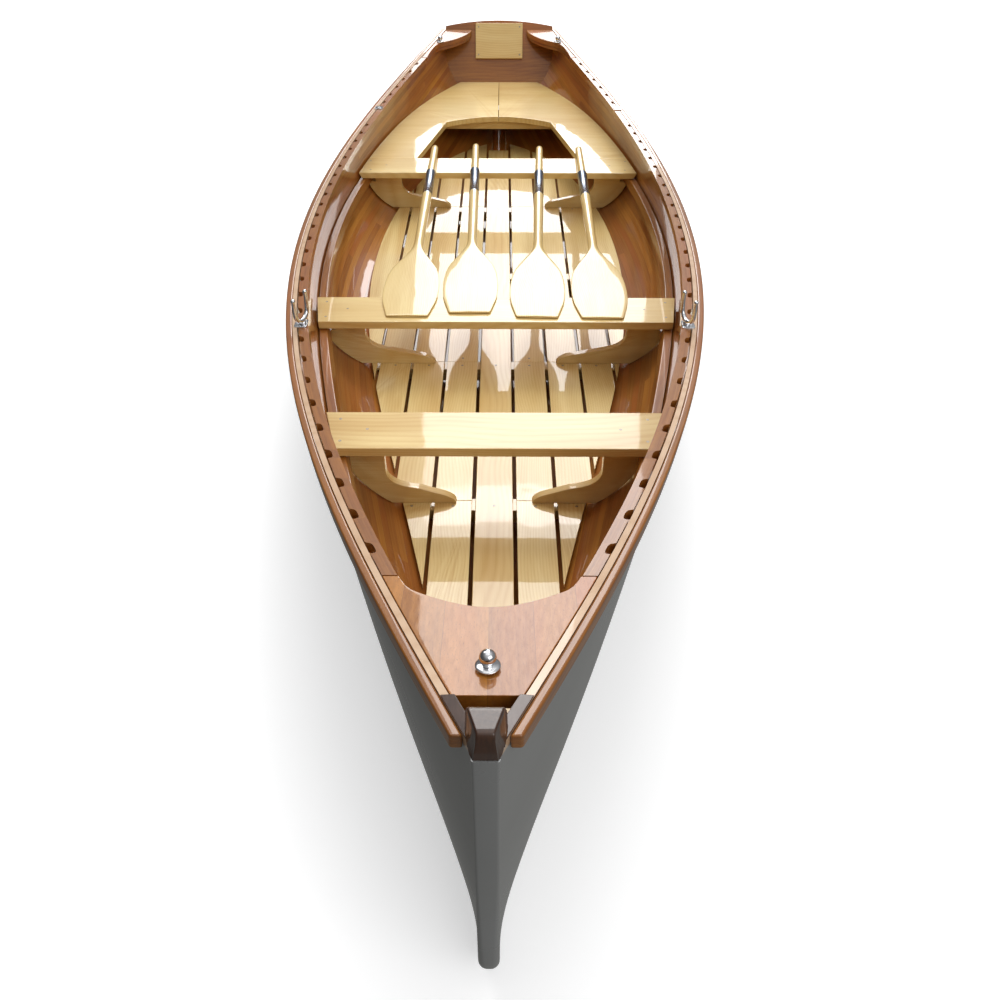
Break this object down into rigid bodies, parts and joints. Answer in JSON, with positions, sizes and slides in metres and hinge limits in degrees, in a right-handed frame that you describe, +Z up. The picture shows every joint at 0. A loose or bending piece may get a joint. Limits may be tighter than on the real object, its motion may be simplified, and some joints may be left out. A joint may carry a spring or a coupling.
{
  "type": "rowing boat",
  "caption": "Planked pulling boat with plumb stem, raked transom, thwarts, floorboards, stern seat, swivelling oarlocks and loose paddles",
  "frame": {"origin": "middle of the bounding box at the underside of the keel", "axes": "+X to port, +Y aft along the keel with the bow at -Y, +Z up"},
  "size_m": [1.3952, 4.9638, 0.797],
  "materials": {
    "hull_paint": "gloss grey-white paint over wood",
    "planking": "red cedar strips, gloss varnish inside, painted outside",
    "mahogany": "gloss varnish",
    "pine": "gloss varnish",
    "light_strip": "gloss varnish",
    "paddle_wood": "satin varnish",
    "chrome": "polished",
    "steel": "polished tube",
    "screw_steel": "dulled"
  },
  "bodies": {
    "hull": {"keel": "hull_paint", "stem": "hull_paint", "inner_stem": "mahogany", "keelson": "mahogany", "planking_port_1": "planking", "planking_port_2": "planking", "planking_port_3": "planking", "planking_port_4": "planking", "planking_starboard_1": "planking", "planking_starboard_2": "planking", "planking_starboard_3": "planking", "planking_starboard_4": "planking", "sheer_strip_port": "light_strip", "sheer_strip_starboard": "light_strip", "outwale_port": "mahogany", "outwale_starboard": "mahogany", "inwale_port": "mahogany", "inwale_starboard": "mahogany", "riser_port": "mahogany", "riser_starboard": "mahogany", "foredeck": "mahogany", "stem_head": "mahogany", "bow_cheek_port": "mahogany", "bow_cheek_starboard": "mahogany", "bow_bollard": "chrome", "transom": "mahogany", "motor_pad": "pine", "motor_pad_screws": "screw_steel", "quarter_knee_port": "mahogany", "quarter_knee_starboard": "mahogany", "quarter_bollards": "chrome", "floorboard_centre": "pine", "floorboards_port": "pine", "floorboards_starboard": "pine", "floor_battens": "pine", "floor_screws": "screw_steel", "thwart_forward": "pine", "thwart_middle": "pine", "thwart_aft": "pine", "frames_forward": "pine", "frames_middle": "pine", "frames_aft": "pine", "thwart_screws": "screw_steel", "stern_seat_port": "pine", "stern_seat_starboard": "pine", "stern_beam": "pine", "socket_forward_port": "chrome", "socket_forward_starboard": "chrome", "socket_aft_port": "chrome", "socket_aft_starboard": "chrome"},
    "oarlock_port": {"oarlock_port": "chrome"},
    "oarlock_starboard": {"oarlock_starboard": "chrome"},
    "paddle_1": {"paddle_1": "paddle_wood", "paddle_sleeve_1": "steel"},
    "paddle_2": {"paddle_2": "paddle_wood", "paddle_sleeve_2": "steel"},
    "paddle_3": {"paddle_3": "paddle_wood", "paddle_sleeve_3": "steel"},
    "paddle_4": {"paddle_4": "paddle_wood", "paddle_sleeve_4": "steel"}
  },
  "joints": [
    {"name": "oarlock_port_swivel", "type": "hinge", "parent": "hull", "child": "oarlock_port", "pos_m": [0.53657, -0.96091, 0.56012], "axis": [0, 0, 1], "continuous": true},
    {"name": "oarlock_starboard_swivel", "type": "hinge", "parent": "hull", "child": "oarlock_starboard", "pos_m": [-0.53657, -0.96091, 0.56012], "axis": [0, 0, 1], "continuous": true},
    {"name": "paddle_1_lift", "type": "slide", "parent": "hull", "child": "paddle_1", "axis": [0, 0, 1], "range_m": [0, 0.5]},
    {"name": "paddle_2_lift", "type": "slide", "parent": "hull", "child": "paddle_2", "axis": [0, 0, 1], "range_m": [0, 0.5]},
    {"name": "paddle_3_lift", "type": "slide", "parent": "hull", "child": "paddle_3", "axis": [0, 0, 1], "range_m": [0, 0.5]},
    {"name": "paddle_4_lift", "type": "slide", "parent": "hull", "child": "paddle_4", "axis": [0, 0, 1], "range_m": [0, 0.5]}
  ]
}
